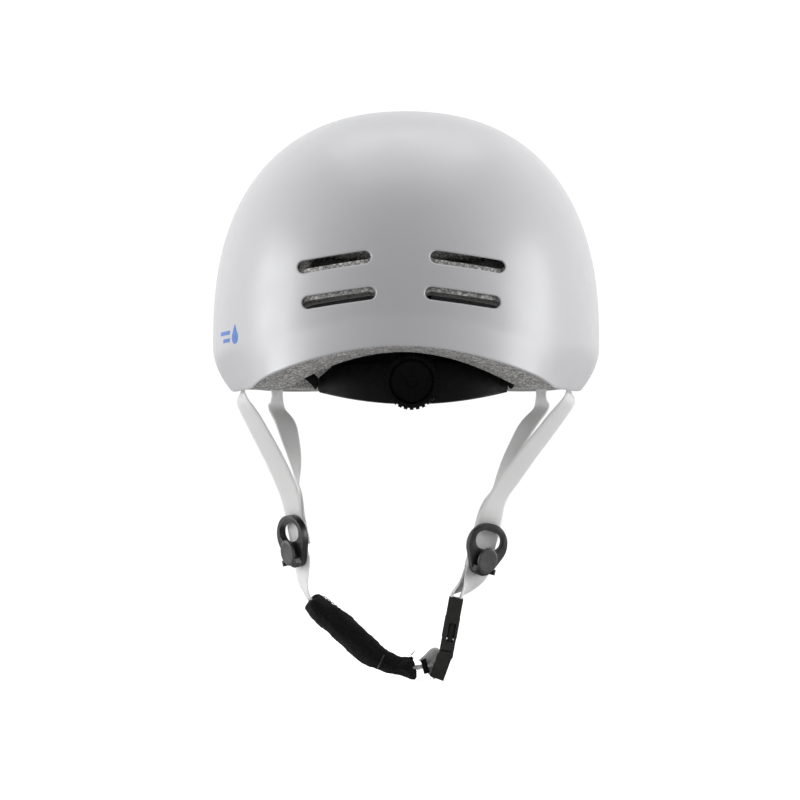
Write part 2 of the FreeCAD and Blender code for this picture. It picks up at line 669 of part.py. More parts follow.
def make_buckle():
    half_depth = BUCKLE_DEPTH / 2
    half_width = BUCKLE_WIDTH / 2
    prong_in = PRONG_SHIFT - PRONG_THICK / 2
    prong_out = PRONG_SHIFT + PRONG_THICK / 2
    room = (prong_in - PRONG_PLAY_IN, prong_out + PRONG_PLAY_OUT)
    female = box(-half_depth, half_depth, -half_width, half_width, 0, 29)
    female = female.cut(box(*room, -9.4, 9.4, -1, 19.5))
    for y0, y1 in ((-12, -9), (9, 12)):
        female = female.cut(box(prong_in - 0.3, prong_out + 0.3, y0, y1, 5, 15))
    female = female.cut(box(-half_depth - 1, half_depth + 1, -8.3, 8.3, 21.5, 24.2))
    female = female.cut(box(-half_depth - 1, -1.0, -8.3, 8.3, 21.5, 30))
    female = female.cut(box(1.0, half_depth + 1, -8.3, 8.3, 21.5, 30))
    save("buckle_female", in_buckle(female))

    male = box(-half_depth, half_depth, -half_width, half_width, -3.4, -0.5)
    male = male.fuse(box(prong_in, prong_out, -2.2, 2.2, -0.6, 17.5))
    male = in_buckle(male)
    tail_up = (BUCKLE_MOUTH - BLOCK_END).normalize()
    tail_out = Vector(0, 1, 0).cross(tail_up)
    block = box(-half_depth, half_depth, -half_width, half_width, 0, 13.0)
    for z0, z1 in ((2.6, 5.4), (8.0, 10.8)):
        block = block.cut(box(-half_depth - 1, half_depth + 1, -8.0, 8.0, z0, z1))
    block = block.cut(box(-half_depth - 1, -0.9, -8.0, 8.0, 2.6, 10.8))
    block = placed(block, BLOCK_END, tail_out, Vector(0, 1, 0), tail_up)
    wedge_low = BLOCK_END + tail_up * 12.0
    wedge = Part.makeLoft([section_wire(wedge_low, tail_out, half_depth, half_width),
                           section_wire(buckle_point(0, 0, -3.0), buckle_axis(0), half_depth, half_width)],
                          True, True)
    male = male.fuse(block).fuse(wedge)
    save("buckle_male", male.removeSplitter())

    for name, sign in (("front", 1), ("rear", -1)):
        arm = box(prong_in, prong_out, min(sign * 5.4, sign * 8.9), max(sign * 5.4, sign * 8.9), 0.1, 16)
        save("buckle_latch_" + name, in_buckle(arm))


def section_wire(centre, out, half_depth, half_width):
    across = Vector(0, half_width, 0)
    through = out * half_depth
    corners = [centre - through - across, centre + through - across,
               centre + through + across, centre - through + across]
    return Part.makePolygon(corners + [corners[0]])


def chin_line():
    """Middle line of the chin strap, from its pivot to the ladder lock."""
    along = (CHIN_PIVOT - DIVIDERS["left"].at(0, 0, -14)).normalize()
    return [CHIN_PIVOT + along * STRAP_BREAK, Vector(-53.0, 0, -108.6), Vector(-40.0, 0, -120.0),
            Vector(-26.0, 0, -132.4), Vector(-14.0, 0, -141.6), Vector(-2.0, 0, -145.0),
            Vector(7.6, 0, -145.4), Vector(14.6, 0, -143.6)]


def make_chin():
    line = chin_line()
    strap_stations = [(point, EDGE_ON) for point in line]
    save("chin_strap", ribbon(strap_stations, WEBBING, WEBBING_THICK))

    half_heights = (6.6, 7.2, 7.0, 6.6, 5.6, 8.2)
    wires = []
    for i, half_height in enumerate(half_heights):
        centre = line[i + 1]
        along = (line[i + 2] - line[i]).normalize()
        wires.append(pad_section(centre, along, half_height, 12.0))
    pad = Part.makeLoft(wires, True, False)
    pad = pad.cut(ribbon(strap_stations, WEBBING + 0.6, WEBBING_THICK + 0.6))
    save("chin_pad", pad)

    along = (line[7] - line[6]).normalize()
    centre = line[6] * 0.62 + line[7] * 0.38
    normal = Vector(0, 1, 0).cross(along)
    ring = box(-1.5, 1.5, -9.8, 9.8, -3.9, 3.9).cut(box(-3, 3, -8.6, 8.6, -2.9, 2.9))
    save("strap_keeper", placed(ring, centre, along, Vector(0, 1, 0), normal * -1))


def pad_section(centre, along, half_height, half_width):
    normal = Vector(0, 1, 0).cross(along)
    ellipse = Part.Ellipse(Vector(0, 0, 0), half_width, half_height).toShape()
    wire = Part.Wire([ellipse])
    return placed(wire, centre, Vector(0, 1, 0), normal, Vector(0, 1, 0).cross(normal))


os.makedirs("parts", exist_ok=True)
make_shell_and_liner()
make_side_mark()
make_pads()
make_cradle()
make_hanger()
make_bands()
make_dial()
make_arms()
make_strap_anchors()
make_dividers()
make_upper_straps()
make_lower_straps()
make_buckle()
make_chin()
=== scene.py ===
"""Looks of a hard-shell multi-sport helmet with a dial fit system and a Y-strap harness.

Lengths in the shape code are in millimetres, as in the CAD model; MM turns them into metres.
"""
import math
import random

import bmesh
import bpy
import numpy as np
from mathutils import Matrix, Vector, noise
from mathutils.geometry import delaunay_2d_cdt


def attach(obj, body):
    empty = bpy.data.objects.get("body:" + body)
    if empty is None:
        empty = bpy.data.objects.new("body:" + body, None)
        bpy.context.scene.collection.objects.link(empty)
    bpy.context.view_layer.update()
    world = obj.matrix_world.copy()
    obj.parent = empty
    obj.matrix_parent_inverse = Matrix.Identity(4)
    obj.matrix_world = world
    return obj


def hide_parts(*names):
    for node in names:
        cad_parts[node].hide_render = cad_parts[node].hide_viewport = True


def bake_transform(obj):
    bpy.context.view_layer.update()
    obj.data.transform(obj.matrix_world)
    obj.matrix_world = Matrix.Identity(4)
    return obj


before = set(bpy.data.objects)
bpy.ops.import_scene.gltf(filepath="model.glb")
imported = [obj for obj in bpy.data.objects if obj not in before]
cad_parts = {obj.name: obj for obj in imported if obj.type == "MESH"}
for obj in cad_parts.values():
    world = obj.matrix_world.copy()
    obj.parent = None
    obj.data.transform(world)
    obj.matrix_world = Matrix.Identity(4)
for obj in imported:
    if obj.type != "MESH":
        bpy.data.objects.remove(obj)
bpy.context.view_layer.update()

MM = 0.001
UP = np.array([0.0, 0.0, 1.0])
BACK_TO_FRONT = np.array([0.0, 1.0, 0.0])


# ---------- shading helpers ----------

class Shade:
    """A Principled material that is built up node by node."""

    def __init__(self, name, color, roughness, **sockets):
        self.material = bpy.data.materials.new(name)
        self.material.use_nodes = True
        self.tree = self.material.node_tree
        self.bsdf = self.tree.nodes["Principled BSDF"]
        self.bsdf.inputs["Base Color"].default_value = (*color, 1)
        self.bsdf.inputs["Roughness"].default_value = roughness
        for socket, value in sockets.items():
            self.bsdf.inputs[socket.replace("_", " ")].default_value = value
        self.material.diffuse_color = (*color, 1)
        self.last_bump = None
        self.coords = self.tree.nodes.new("ShaderNodeTexCoord")

    def node(self, kind, inputs=(), **settings):
        made = self.tree.nodes.new("ShaderNode" + kind)
        for name, value in settings.items():
            setattr(made, name, value)
        for key, value in dict(inputs).items():
            if isinstance(value, bpy.types.NodeSocket):
                self.tree.links.new(value, made.inputs[key])
            else:
                made.inputs[key].default_value = value
        return made

    def place(self, space="Object", scale=(1, 1, 1)):
        return self.node("Mapping", {"Vector": self.coords.outputs[space], "Scale": scale}).outputs[0]

    def noise(self, scale, detail=3.0, rough=0.55, space="Object", stretch=(1, 1, 1)):
        return self.node("TexNoise", {"Vector": self.place(space, stretch), "Scale": scale,
                                      "Detail": detail, "Roughness": rough}).outputs["Fac"]

    def cells(self, scale, feature="F1", space="Object", stretch=(1, 1, 1), output="Distance"):
        return self.node("TexVoronoi", {"Vector": self.place(space, stretch), "Scale": scale},
                         feature=feature).outputs[output]

    def wave(self, scale, direction="Y", space="UV", distortion=0.0, profile="SIN"):
        return self.node("TexWave", {"Vector": self.place(space), "Scale": scale, "Distortion": distortion,
                                     "Detail": 1.0, "Detail Scale": 2.0},
                         bands_direction=direction, wave_profile=profile).outputs["Fac"]

    def maths(self, operation, a, b):
        return self.node("Math", {0: a, 1: b}, operation=operation).outputs[0]

    def span(self, value, low, high, to_low, to_high):
        return self.node("MapRange", {"Value": value, "From Min": low, "From Max": high,
                                      "To Min": to_low, "To Max": to_high}).outputs["Result"]

    def blend(self, share, first, second):
        made = self.node("Mix", data_type="RGBA")
        pick = [s for s in made.inputs if s.enabled or s.type == "RGBA"]
        factor = [s for s in pick if s.name == "Factor" and s.type == "VALUE"][0]
        a = [s for s in made.inputs if s.name == "A" and s.type == "RGBA"][0]
        b = [s for s in made.inputs if s.name == "B" and s.type == "RGBA"][0]
        for socket, value in ((factor, share), (a, first), (b, second)):
            if isinstance(value, bpy.types.NodeSocket):
                self.tree.links.new(value, socket)
            else:
                socket.default_value = value if socket is factor else (*value, 1)
        return [s for s in made.outputs if s.type == "RGBA"][0]

    def color(self, socket):
        self.tree.links.new(socket, self.bsdf.inputs["Base Color"])

    def roughness(self, socket):
        self.tree.links.new(socket, self.bsdf.inputs["Roughness"])

    def bump(self, height, distance_mm, strength=1.0):
        inputs = {"Height": height, "Distance": distance_mm * MM, "Strength": strength}
        if self.last_bump is not None:
            inputs["Normal"] = self.last_bump
        self.last_bump = self.node("Bump", inputs).outputs["Normal"]
        self.tree.links.new(self.last_bump, self.bsdf.inputs["Normal"])


def shell_paint():
    s = Shade("shell_satin_white", (0.415, 0.415, 0.427), 0.36, Specular_IOR_Level=0.5, Coat_Weight=0.12,
              Coat_Roughness=0.25)
    tone = s.noise(9, 4)
    s.color(s.blend(s.span(tone, 0.3, 0.7, 0, 1), (0.405, 0.405, 0.417), (0.425, 0.425, 0.437)))
    s.roughness(s.span(s.noise(60, 5), 0.3, 0.7, 0.33, 0.42))
    s.bump(s.noise(1400, 2), 0.012, 0.6)
    s.bump(s.noise(180, 2), 0.03, 0.35)
    return s.material


def liner_foam():
    s = Shade("foam_beads_grey", (0.46, 0.455, 0.44), 0.82, Specular_IOR_Level=0.25)
    bead = s.cells(430)
    edge = s.cells(430, "DISTANCE_TO_EDGE")
    tint = s.cells(430, output="Color")
    value = s.node("SeparateColor", {"Color": tint}).outputs[0]
    body = s.blend(s.span(value, 0.0, 1.0, 0, 1), (0.34, 0.336, 0.325), (0.66, 0.65, 0.63))
    dark = s.blend(s.span(edge, 0.0, 0.16, 0, 1), (0.10, 0.10, 0.10), body)
    s.color(s.blend(s.span(s.noise(2100, 2), 0.42, 0.62, 0, 0.55), dark, (0.16, 0.158, 0.155)))
    s.bump(s.span(bead, 0.0, 0.7, 1, 0), 0.35, 0.8)
    s.bump(s.noise(2600, 2), 0.08, 0.5)
    return s.material


def mark_film():
    s = Shade("film_blue", (0.035, 0.13, 0.42), 0.4)
    s.color(s.blend(s.span(s.noise(700, 3), 0.35, 0.65, 0, 1), (0.03, 0.115, 0.38), (0.05, 0.155, 0.47)))
    s.bump(s.noise(2500, 2), 0.01, 0.5)
    return s.material


def woven(name, light, dark, sheen, through=0.0):
    """Webbing: v runs along it and u across it, in millimetres."""
    s = Shade(name, light, 0.86, Specular_IOR_Level=0.25, Sheen_Weight=sheen, Sheen_Roughness=0.5,
              Subsurface_Weight=through, Subsurface_Scale=0.005, Subsurface_Radius=(1, 1, 1))
    warp = s.wave(2.6, "X")
    weft = s.wave(1.43, "Y", distortion=0.6)
    threads = s.maths("MULTIPLY", warp, weft)
    # Painted shade: the dark colour is laid into the gaps between threads, where the weave bump is low, so
    # the valleys read darker.
    painted_gap_shade = s.blend(s.span(threads, 0.0, 0.75, 0, 1), dark, light)
    fuzz = s.noise(1.1, 4, space="UV", stretch=(1, 1, 1))
    s.color(s.blend(s.span(fuzz, 0.35, 0.7, 0.0, 0.35), painted_gap_shade, tuple(c * 0.9 for c in light)))
    s.bump(threads, 0.16, 0.9)
    s.bump(s.noise(5.0, 3, space="UV"), 0.05, 0.5)
    return s.material


def moulded(name, color, roughness, gloss=0.5, grain=0.05, wear=0.5):
    """Moulded plastic with a fine spark-eroded grain and lightly polished high spots."""
    s = Shade(name, color, roughness, Specular_IOR_Level=gloss)
    worn = tuple(min(1, c * 1.9 + 0.004) for c in color)
    s.color(s.blend(s.span(s.noise(260, 5), 0.42, 0.75, 0, wear), color, worn))
    s.roughness(s.span(s.noise(420, 4), 0.3, 0.7, roughness - 0.08, roughness + 0.1))
    s.bump(s.noise(3200, 2), grain, 0.55)
    return s.material


def fleece():
    s = Shade("fleece_black", (0.004, 0.004, 0.004), 0.97, Specular_IOR_Level=0.05, Sheen_Weight=0.06,
              Sheen_Roughness=0.6)
    tufts = s.noise(900, 5, 0.7)
    s.color(s.blend(s.span(tufts, 0.35, 0.7, 0, 1), (0.002, 0.002, 0.002), (0.012, 0.012, 0.013)))
    s.bump(tufts, 0.9, 0.9)
    s.bump(s.cells(1500), 0.25, 0.6)
    return s.material


def pad_cloth():
    s = Shade("pad_mesh_cloth", (0.02, 0.02, 0.022), 0.9, Specular_IOR_Level=0.2, Sheen_Weight=0.3)
    holes = s.cells(900)
    s.color(s.blend(s.span(holes, 0.15, 0.5, 0, 1), (0.008, 0.008, 0.009), (0.045, 0.045, 0.048)))
    s.bump(holes, 0.3, 0.8)
    s.bump(s.noise(2400, 3), 0.08, 0.5)
    return s.material


LOOKS = {
    "shell": shell_paint(),
    "liner": liner_foam(),
    "mark": mark_film(),
    "webbing": woven("webbing_white", (0.95, 0.95, 0.94), (0.80, 0.80, 0.795), 0.3, 0.7),
    "fleece": fleece(),
    "pad": pad_cloth(),
    "fittings": moulded("plastic_black", (0.0018, 0.0018, 0.002), 0.45, 0.09),
    "dial": moulded("plastic_dial", (0.0015, 0.0015, 0.0015), 0.38, 0.07),
    "lock": moulded("plastic_lock", (0.012, 0.0125, 0.0105), 0.46, 0.32),
    "divider": moulded("plastic_divider", (0.010, 0.010, 0.0105), 0.34, 0.42),
    "lever": moulded("plastic_lever", (0.040, 0.040, 0.042), 0.34, 0.5),
    "thread": woven("thread_grey", (0.10, 0.10, 0.10), (0.03, 0.03, 0.03), 0.3),
}


# ---------- mesh helpers ----------

def new_piece(name, points, faces, look, body, stands_for=(), normals=None):
    """Mesh object from points in millimetres, riding on a body."""
    mesh = bpy.data.meshes.new(name)
    mesh.from_pydata((np.asarray(points, float) * MM).tolist(), [], [list(map(int, f)) for f in faces])
    mesh.update()
    mesh.polygons.foreach_set("use_smooth", [True] * len(mesh.polygons))
    if normals is not None:
        mesh.normals_split_custom_set_from_vertices(np.asarray(normals, float).tolist())
    return adopt(bpy.data.objects.new(name, mesh), look, body, stands_for)


def adopt(obj, look, body, stands_for=()):
    if obj.name not in bpy.context.scene.collection.objects:
        bpy.context.scene.collection.objects.link(obj)
    obj.data.materials.clear()
    obj.data.materials.append(LOOKS[look])
    if body:
        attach(obj, body)
    if stands_for:
        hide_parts(*stands_for)
    return obj


def rings_to_faces(count, size, first=0):
    """Quads between closed rings of equal size, numbered one after another."""
    faces = []
    for i in range(count - 1):
        a = first + i * size
        b = a + size
        for j in range(size):
            k = (j + 1) % size
            faces.append((a + j, a + k, b + k, b + j))
    return faces


def spline(points, samples_mm):
    """Smooth curve through points (any number of columns; the first three are the place), evenly spaced."""
    points = np.asarray(points, float)
    gaps = np.maximum(np.linalg.norm(np.diff(points[:, :3], axis=0), axis=1), 1e-6)
    knots = np.concatenate([[0], np.cumsum(np.sqrt(gaps) * np.sqrt(gaps.mean()))])
    n = len(points)
    system = np.zeros((n, n))
    right = np.zeros((n, points.shape[1]))
    system[0, 0] = system[-1, -1] = 1
    for i in range(1, n - 1):
        before, after = knots[i] - knots[i - 1], knots[i + 1] - knots[i]
        system[i, i - 1:i + 2] = before, 2 * (before + after), after
        right[i] = 6 * ((points[i + 1] - points[i]) / after - (points[i] - points[i - 1]) / before)
    bend = np.linalg.solve(system, right)

    def at(t):
        i = np.clip(np.searchsorted(knots, t, side="right") - 1, 0, n - 2)
        gap = (knots[i + 1] - knots[i])[:, None]
        a = ((knots[i + 1] - t)[:, None]) / gap
        b = 1 - a
        return (a * points[i] + b * points[i + 1]
                + ((a ** 3 - a) * bend[i] + (b ** 3 - b) * bend[i + 1]) * gap ** 2 / 6)

    fine = at(np.linspace(0, knots[-1], 3000))
    run = np.concatenate([[0], np.cumsum(np.linalg.norm(np.diff(fine[:, :3], axis=0), axis=1))])
    count = max(8, int(round(run[-1] / samples_mm)))
    wanted = np.linspace(0, run[-1], count + 1)
    return np.column_stack([np.interp(wanted, run, fine[:, k]) for k in range(fine.shape[1])]), wanted


def unit(v):
    v = np.asarray(v, float)
    return v / np.linalg.norm(v, axis=-1, keepdims=True)


# ---------- shell ----------

HALF_WIDTH, FRONT, REAR = 105.5, 134.0, 136.0
WAIST_Z, CROWN, SKIRT = 32.0, 124.5, 150.0
PLAN, PROFILE = 2.1, 2.4
WALL = 2.0
RIM_LOW = 3.0
NAPE_RISE, NAPE_SPREAD = 17.8, math.radians(51)
EAR_RISE, EAR_START, EAR_END = 6.0, math.radians(65), math.radians(120)
BROW_RISE, BROW_SPREAD = 4.0, math.radians(60)
LIP_HEIGHT, LIP_SLOPE, LIP_ROUNDING = 16.5, 0.22, 1.1
TUCK_HEIGHT, TUCK_DEPTH, TUCK_POWER = 24.0, 9.5, 1.9
SLOT_RADIUS = 3.2
SLOTS = (((18.0, 65.7), (49.0, 62.0)), ((15.5, 47.4), (46.5, 43.8)))
COLUMNS = 360
EDGE_ROWS = 40
DOME_ROWS = 84


def step(low, high, value):
    t = np.clip((value - low) / (high - low), 0, 1)
    return t * t * (3 - 2 * t)


def rim_height(angle):
    nape = NAPE_RISE * np.maximum(0.5 + 0.5 * np.cos(np.pi * np.minimum(angle / NAPE_SPREAD, 1)), 0) ** 0.7
    brow = BROW_RISE * (0.5 + 0.5 * np.cos(np.pi * np.minimum((np.pi - angle) / BROW_SPREAD, 1)))
    return RIM_LOW + EAR_RISE * step(EAR_START, EAR_END, angle) + nape + brow


def edge_offset(angle, above):
    lip = 1 - step(math.radians(30), math.radians(58), angle)
    lip = lip * LIP_SLOPE * LIP_ROUNDING * np.logaddexp(0, (LIP_HEIGHT - above) / LIP_ROUNDING)
    side = step(math.radians(38), math.radians(62), angle)
    side = side * (1 - 0.5 * step(math.radians(130), math.radians(170), angle))
    near = np.clip(1 - above / TUCK_HEIGHT, 0, 1.25)
    return lip - side * TUCK_DEPTH * near ** TUCK_POWER


def plan_point(theta):
    s, c = np.sin(theta), -np.cos(theta)
    ring = (np.abs(s) ** PLAN + np.abs(c) ** PLAN) ** (1 / PLAN)
    return s / ring, c / ring


def profile_angle(z, inset=0.0):
    height = np.where(z > WAIST_Z, CROWN - inset, SKIRT)
    share = (z - WAIST_Z) / height
    return np.arctan2(share, np.maximum(1 - np.abs(share) ** PROFILE, 0) ** (1 / PROFILE))


def shell_point(theta, phi, inset=0.0):
    """Shell surface at an angle around (0 at the rear) and an angle up the profile."""
    sx, sy = plan_point(theta)
    c, s = np.cos(phi), np.sin(phi)
    reach = (np.abs(c) ** PROFILE + np.abs(s) ** PROFILE) ** (-1 / PROFILE)
    length = np.where(sy > 0, FRONT, REAR)
    x = (HALF_WIDTH - inset) * c * reach * sx
    y = (length - inset) * c * reach * sy
    z = WAIST_Z + np.where(s > 0, CROWN - inset, SKIRT) * s * reach
    angle = np.arctan2(np.abs(x) / HALF_WIDTH, -y / length)
    nx = np.copysign((np.abs(x) / HALF_WIDTH) ** (PLAN - 1) / HALF_WIDTH, x)
    ny = np.copysign((np.abs(y) / length) ** (PLAN - 1) / length, y)
    size = np.maximum(np.hypot(nx, ny), 1e-9)
    push = edge_offset(angle, z - rim_height(angle))
    return np.stack([x + nx / size * push, y + ny / size * push, z], -1)


def row_angles(theta, inset, first_above):
    """Profile angles of the rows from just above the rim to the crown, one column per theta."""
    folded = np.abs(np.arctan2(np.sin(theta), np.cos(theta)))
    rim = rim_height(folded)
    above = first_above + (30.0 - first_above) * np.linspace(0, 1, EDGE_ROWS) ** 1.1
    low = profile_angle(rim[None, :] + above[:, None], inset)
    share = np.linspace(0, 1, DOME_ROWS + 1)[1:, None]
    high = low[-1][None, :] * (1 - share) + (math.pi / 2 - 0.004) * share
    return np.vstack([low, high])


def surface_normals(theta, phi):
    e = 1e-4
    du = shell_point(theta + e, phi) - shell_point(theta - e, phi)
    dv = shell_point(theta, phi + e) - shell_point(theta, phi - e)
    return unit(np.cross(du, dv))


def slot_outline(ends, side, grow):
    """Points of a slot's outline, seen from behind: (x, z), grown outwards."""
    (x0, z0), (x1, z1) = ends
    along = unit([x1 - x0, z1 - z0])
    out = np.array([-along[1], along[0]])
    points = []
    for k in range(17):
        a = math.pi / 2 + math.pi * k / 16
        d = along * math.cos(a) + out * math.sin(a)
        points.append((x0 + (SLOT_RADIUS + grow) * d[0], z0 + (SLOT_RADIUS + grow) * d[1]))
    for k in range(1, 20):
        t = k / 20
        points.append((x0 + (x1 - x0) * t - (SLOT_RADIUS + grow) * out[0],
                       z0 + (z1 - z0) * t - (SLOT_RADIUS + grow) * out[1]))
    for k in range(17):
        a = -math.pi / 2 + math.pi * k / 16
        d = along * math.cos(a) + out * math.sin(a)
        points.append((x1 + (SLOT_RADIUS + grow) * d[0], z1 + (SLOT_RADIUS + grow) * d[1]))
    for k in range(1, 20):
        t = 1 - k / 20
        points.append((x0 + (x1 - x0) * t + (SLOT_RADIUS + grow) * out[0],
                       z0 + (z1 - z0) * t + (SLOT_RADIUS + grow) * out[1]))
    points = np.array(points)
    points[:, 0] *= side
    return points


def on_shell(xz, front, inset):
    """Angles of the surface point at a given (x, z)."""
    x, z = xz[:, 0], xz[:, 1]
    phi = profile_angle(z, inset)
    height = np.where(z > WAIST_Z, CROWN - inset, SKIRT)
    reach = (1 - np.abs((z - WAIST_Z) / height) ** PROFILE) ** (1 / PROFILE)
    share = np.abs(x) / ((HALF_WIDTH - inset) * reach)
    other = (1 - share ** PLAN) ** (1 / PLAN)
    theta = np.arctan2(np.sign(x) * share, -other if front else other)
    return theta, phi


def inside(polygon, points):
    """Which points lie in a closed polygon."""
    result = np.zeros(len(points), bool)
    x, y = points[:, 0], points[:, 1]
    for (x0, y0), (x1, y1) in zip(polygon, np.roll(polygon, -1, axis=0)):
        crosses = (y0 > y) != (y1 > y)
        gap = y1 - y0 if abs(y1 - y0) > 1e-12 else 1e-12
        result ^= crosses & (x < (x1 - x0) * (y - y0) / gap + x0)
    return result


def holed_surface(inset, first_above, hole_growth, outward):
    """Grid over the dome with its slots cut out. Returns points, faces, normals, first row and hole rings."""
    theta = -math.pi + 2 * math.pi * (np.arange(COLUMNS) + 0.5) / COLUMNS
    phis = row_angles(theta, inset, first_above)
    rows = len(phis)
    thetas = np.broadcast_to(theta, phis.shape)
    flat_t, flat_p = thetas.ravel(), phis.ravel()
    points = [shell_point(flat_t, flat_p, inset)]
    normals = [surface_normals(flat_t, flat_p) * (1 if outward else -1)]
    count = rows * COLUMNS
    removed = np.zeros((rows, COLUMNS), bool)
    faces, holes = [], []
    for front in (False, True):
        for side in (-1, 1):
            outlines = []
            for ends in SLOTS:
                t, p = on_shell(slot_outline(ends, side, hole_growth), front, inset)
                if front:
                    t = np.where(t < 0, t + 2 * math.pi, t)
                outlines.append(np.column_stack([t, p]))
            every = np.vstack(outlines)
            column = theta + (2 * math.pi * (theta < 0) if front else 0)
            wide = np.where((column > every[:, 0].min() - 0.05) & (column < every[:, 0].max() + 0.05))[0]
            if front:
                wide = wide[np.argsort(column[wide])]
            middle = phis[:, wide]
            tall = np.where((middle.max(1) > every[:, 1].min() - 0.04)
                            & (middle.min(1) < every[:, 1].max() + 0.04))[0]
            j0, j1 = tall[0], tall[-1]
            removed[j0:j1, wide[:-1]] = True
            index, coords = [], []
            for j in range(j0, j1 + 1):
                for i in wide:
                    index.append(j * COLUMNS + i)
                    coords.append((column[i], phis[j, i]))
            coords = np.array(coords)
            width = len(wide)
            height = j1 - j0 + 1
            edge = ([k for k in range(width)] + [(r + 1) * width - 1 for r in range(1, height)]
                    + [height * width - 1 - k for k in range(1, width)]
                    + [r * width for r in range(height - 2, 0, -1)])
            keep = np.ones(len(coords), bool)
            on_edge = np.zeros(len(coords), bool)
            on_edge[edge] = True
            for outline in outlines:
                centre = outline.mean(0)
                keep &= ~inside(centre + (outline - centre) * np.array([1.06, 1.30]), coords)
            keep |= on_edge
            kept = np.where(keep)[0]
            number = {int(k): n for n, k in enumerate(kept)}
            flat = [Vector(coords[k]) for k in kept]
            ids = [index[k] for k in kept]
            links = [(number[a], number[b]) for a, b in zip(edge, edge[1:] + edge[:1])]
            for outline in outlines:
                start = len(flat)
                for k, (t, p) in enumerate(outline):
                    flat.append(Vector((t, p)))
                    ids.append(count + k)
                    links.append((start + k, start + (k + 1) % len(outline)))
                points.append(shell_point(outline[:, 0], outline[:, 1], inset))
                normals.append(surface_normals(outline[:, 0], outline[:, 1]) * (1 if outward else -1))
                holes.append((count, len(outline), side, front))
                count += len(outline)
            made = delaunay_2d_cdt(flat, links, [], 0, 1e-7)
            corner = np.array(made[0])
            triangles = np.array([f for f in made[2] if len(f) == 3])
            centre = corner[triangles].mean(1)
            good = inside(coords[edge], centre)
            for outline in outlines:
                good &= ~inside(outline, centre)
            origin = [o[0] for o in made[3]]
            for a, b, c in triangles[good]:
                face = [ids[origin[a]], ids[origin[b]], ids[origin[c]]]
                faces.append(face if outward else face[::-1])
    for j in range(rows - 1):
        for i in range(COLUMNS):
            if removed[j, i]:
                continue
            k = (i + 1) % COLUMNS
            face = (j * COLUMNS + i, j * COLUMNS + k, (j + 1) * COLUMNS + k, (j + 1) * COLUMNS + i)
            faces.append(face if outward else face[::-1])
    top = [(rows - 1) * COLUMNS + i for i in range(COLUMNS)]
    points.append(shell_point(np.zeros(1), np.full(1, math.pi / 2), inset))
    normals.append(np.array([[0, 0, 1.0 if outward else -1.0]]))
    for a, b in zip(top, top[1:] + top[:1]):
        faces.append((a, b, count) if outward else (b, a, count))
    return np.vstack(points), faces, np.vstack(normals), holes, theta


def make_shell():
    mouth = 1.0
    outer, faces, outer_n, outer_holes, theta = holed_surface(0.0, 1.0, mouth, True)
    inner, inner_faces, inner_n, inner_holes, _ = holed_surface(WALL, 1.0, 0.0, False)
    points, normals = [outer, inner], [outer_n, inner_n]
    shift = len(outer)
    faces += [[v + shift for v in f] for f in inner_faces]
    count = shift + len(inner)

    folded = np.abs(theta)
    rim = rim_height(folded)
    rings = [list(range(COLUMNS))]
    for k in range(1, 9):
        a = math.pi * k / 9
        inset, above = 1 - math.cos(a), 1 - math.sin(a)
        rings.append(list(range(count, count + COLUMNS)))
        points.append(shell_point(theta, profile_angle(rim + above, inset), inset))
        normals.append(np.zeros((COLUMNS, 3)))
        count += COLUMNS
    rings.append([shift + i for i in range(COLUMNS)])
    for a, b in zip(rings, rings[1:]):
        for i in range(COLUMNS):
            k = (i + 1) % COLUMNS
            faces.append((a[k], a[i], b[i], b[k]))

    for (start, size, side, front), (start_in, _, _, _), ends in zip(
            outer_holes, inner_holes, SLOTS * 4):
        rings = [[start + k for k in range(size)]]
        for step_no in range(1, 6):
            a = math.pi / 2 * step_no / 5
            outline = slot_outline(ends, side, mouth * (1 - math.sin(a)))
            t, p = on_shell(outline, front, 0.0)
            ring = shell_point(t, p)
            ring[:, 1] += mouth * (1 - math.cos(a)) * (-1 if front else 1)
            rings.append(list(range(count, count + size)))
            points.append(ring)
            normals.append(np.zeros((size, 3)))
            count += size
        rings.append([shift + start_in + k for k in range(size)])
        flip = (side > 0) != front
        for a, b in zip(rings, rings[1:]):
            for i in range(size):
                k = (i + 1) % size
                faces.append((a[i], a[k], b[k], b[i]) if flip else (a[k], a[i], b[i], b[k]))
    new_piece("shell_skin", np.vstack(points), faces, "shell", "root", ["outer_shell"],
              np.vstack(normals))


# ---------- harness webbing ----------

WEBBING, WEBBING_THICK = 15.0, 1.6
RIB_PITCH = 1.15
REAR_ROUTE = ((88.0, -24.0, 83), (-3, 3, -9), (62, 47, 41, 37, 36, 40), (0, -3, 18))
FRONT_ROUTE = ((75.8, 62.0, 111), (-10, -18, -15), (122, 136, 128, 112, 95, 75), (0, 10, 20))
DIVIDER_THICK = 4.0
STRAP_DEPTH = DIVIDER_THICK / 2 + WEBBING_THICK / 2 + 0.3
LAYER_STEP = WEBBING_THICK + 0.7
CHIN_PIVOT = np.array([-54.9, 0, -105.0])
BUCKLE_MOUTH = np.array([22.0, 0, -136.1])
BUCKLE_TOP = np.array([27.5, 0, -106.6])
EDGE_ON = np.array([0.22, -0.98, 0])
TURN_ACROSS = np.array([0.30, 0.82, -0.48])
LOCK_TURN = ([9.5, 0, -144.6], [13.2, 0, -141.2], [16.4, 0, -138.6], [18.6, 0, -139.8], [18.2, 0, -143.0],
             [15.6, 0, -146.4], [12.2, 0, -149.4])


def level_direction(turn, side):
    return np.array([math.cos(math.radians(turn)), side * math.sin(math.radians(turn)), 0])


